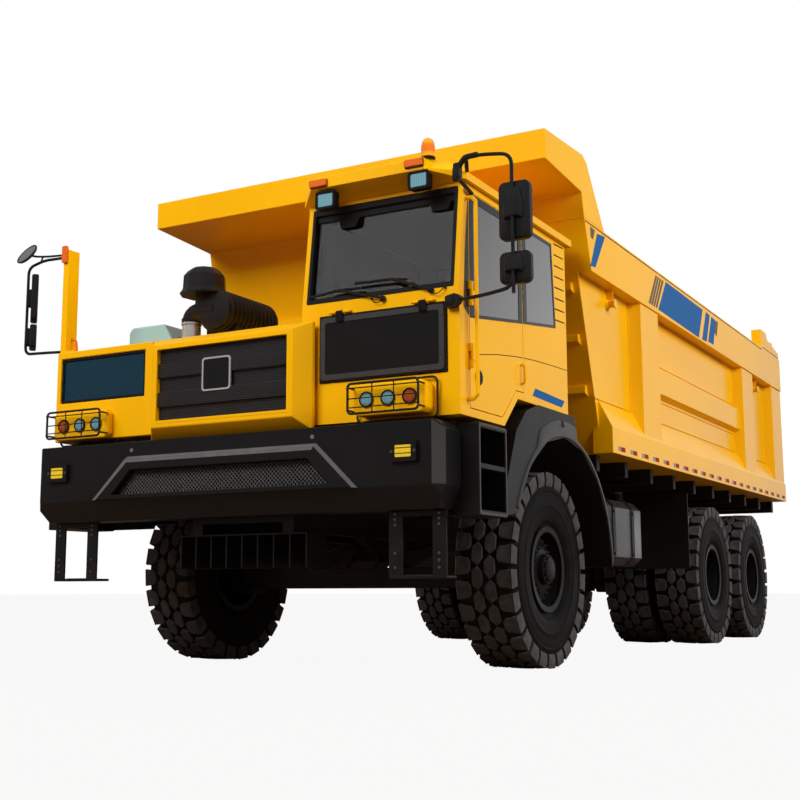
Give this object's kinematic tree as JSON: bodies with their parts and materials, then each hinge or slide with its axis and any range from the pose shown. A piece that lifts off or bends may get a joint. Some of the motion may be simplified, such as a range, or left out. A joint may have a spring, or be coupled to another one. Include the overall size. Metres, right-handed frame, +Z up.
{
  "type": "dump truck",
  "caption": "Heavy six-wheel mining dump truck with an offset cab, tipping load body, hung tailgate, steered front wheels and twin rear wheels.",
  "frame": {"origin": "on the ground, under the middle of the overall box", "axes": "+X to the truck's left, -Y forward, +Z up"},
  "size_m": [5.04, 10.537, 4.47],
  "materials": {
    "yellow": "gloss yellow paint",
    "black": "satin charcoal paint",
    "iron": "dark painted casting",
    "tyre": "matt rubber",
    "plastic": "matt black plastic",
    "lamp": "lenses in dark bezels",
    "glass": "dark tinted",
    "coolant": "pale blue-green plastic",
    "seat": "dark cloth"
  },
  "bodies": {
    "chassis": {"chassis_frame": "black", "hoist_pins": "iron", "axles": "iron", "springs": "iron", "engine_block": "iron", "propeller_shafts": "iron", "underbody_fins": "black", "bumper": "black", "grilles": "black", "prow": "yellow", "side_housing": "yellow", "engine_deck": "yellow", "lamp_boxes": "yellow", "lamp_guards": "black", "lamps": "lamp", "cab_shell": "yellow", "cab_roof": "yellow", "cab_glass": "glass", "operator_seat": "seat", "steering_stand": "plastic", "steps": "black", "fenders": "black", "side_tanks": "black", "post_and_rail": "yellow", "air_cleaner": "plastic", "coolant_tank": "coolant", "mirrors": "plastic"},
    "door": {"cab_door": "yellow", "cab_door_glass": "glass"},
    "hatch": {"hatch_lid": "black"},
    "knuckle_left": {"steering_knuckle_left": "iron"},
    "knuckle_right": {"steering_knuckle_right": "iron"},
    "front_wheel_left": {"front_tyre_left": "tyre", "front_rim_left": "iron"},
    "front_wheel_right": {"front_tyre_right": "tyre", "front_rim_right": "iron"},
    "rear_wheel_1_left": {"rear_tyres_1_left": "tyre", "rear_rims_1_left": "iron"},
    "rear_wheel_1_right": {"rear_tyres_1_right": "tyre", "rear_rims_1_right": "iron"},
    "rear_wheel_2_left": {"rear_tyres_2_left": "tyre", "rear_rims_2_left": "iron"},
    "rear_wheel_2_right": {"rear_tyres_2_right": "tyre", "rear_rims_2_right": "iron"},
    "bed": {"bed_tub": "yellow", "bed_canopy": "yellow", "bed_underframe": "black"},
    "tailgate": {"tailgate": "yellow"},
    "hoist_barrel_pair": {"hoist_barrels": "iron"},
    "hoist_first_stage": {"hoist_stage_1": "iron"},
    "hoist_second_stage": {"hoist_stage_2": "iron"},
    "hoist_rod_pair": {"hoist_rods": "iron"}
  },
  "joints": [
    {"name": "bed_tip", "type": "hinge", "parent": "chassis", "child": "bed", "pos_m": [0, 4.6725, 1.4], "axis": [-1, 0, 0], "range_deg": [0, 45]},
    {"name": "tailgate_swing", "type": "hinge", "parent": "bed", "child": "tailgate", "pos_m": [0, 5.1745, 4.01], "axis": [1, 0, 0], "range_deg": [0, 60]},
    {"name": "hoist_pitch", "type": "hinge", "parent": "chassis", "child": "hoist_barrel_pair", "pos_m": [0, 1.5225, 0.68], "axis": [-1, 0, 0], "range_deg": [0, 21]},
    {"name": "hoist_extend_1", "type": "slide", "parent": "hoist_barrel_pair", "child": "hoist_first_stage", "axis": [0, 0, 1], "range_m": [0, 0.787]},
    {"name": "hoist_extend_2", "type": "slide", "parent": "hoist_first_stage", "child": "hoist_second_stage", "axis": [0, 0, 1], "range_m": [0, 0.787]},
    {"name": "hoist_extend_3", "type": "slide", "parent": "hoist_second_stage", "child": "hoist_rod_pair", "axis": [0, 0, 1], "range_m": [0, 0.787]},
    {"name": "steer_left", "type": "hinge", "parent": "chassis", "child": "knuckle_left", "pos_m": [1.21, -3.0975, 0.81], "axis": [0, 0, 1], "range_deg": [-32, 32]},
    {"name": "steer_right", "type": "hinge", "parent": "chassis", "child": "knuckle_right", "pos_m": [-1.21, -3.0975, 0.81], "axis": [0, 0, 1], "range_deg": [-32, 32]},
    {"name": "door_swing", "type": "hinge", "parent": "chassis", "child": "door", "pos_m": [1.972, -4.8675, 2.7], "axis": [0, 0, -1], "range_deg": [0, 75]},
    {"name": "hatch_swing", "type": "hinge", "parent": "chassis", "child": "hatch", "pos_m": [1.3, -5.0575, 2.692], "axis": [-1, 0, 0], "range_deg": [0, 85]},
    {"name": "front_spin_left", "type": "hinge", "parent": "knuckle_left", "child": "front_wheel_left", "pos_m": [1.575, -3.0975, 0.81], "axis": [1, 0, 0], "continuous": true},
    {"name": "front_spin_right", "type": "hinge", "parent": "knuckle_right", "child": "front_wheel_right", "pos_m": [-1.575, -3.0975, 0.81], "axis": [1, 0, 0], "continuous": true},
    {"name": "rear_spin_1_left", "type": "hinge", "parent": "chassis", "child": "rear_wheel_1_left", "pos_m": [1.27, 2.0725, 0.81], "axis": [1, 0, 0], "continuous": true},
    {"name": "rear_spin_1_right", "type": "hinge", "parent": "chassis", "child": "rear_wheel_1_right", "pos_m": [-1.27, 2.0725, 0.81], "axis": [1, 0, 0], "continuous": true},
    {"name": "rear_spin_2_left", "type": "hinge", "parent": "chassis", "child": "rear_wheel_2_left", "pos_m": [1.27, 4.0225, 0.81], "axis": [1, 0, 0], "continuous": true},
    {"name": "rear_spin_2_right", "type": "hinge", "parent": "chassis", "child": "rear_wheel_2_right", "pos_m": [-1.27, 4.0225, 0.81], "axis": [1, 0, 0], "continuous": true}
  ],
  "couplings": [
    {"joint": "steer_right", "follows": "steer_left", "ratio": 1},
    {"joint": "hoist_pitch", "follows": "bed_tip", "ratio": 0.45168},
    {"joint": "hoist_extend_1", "follows": "bed_tip", "m_per_rad": 0.98873},
    {"joint": "hoist_extend_2", "follows": "bed_tip", "m_per_rad": 0.98873},
    {"joint": "hoist_extend_3", "follows": "bed_tip", "m_per_rad": 0.98873}
  ]
}
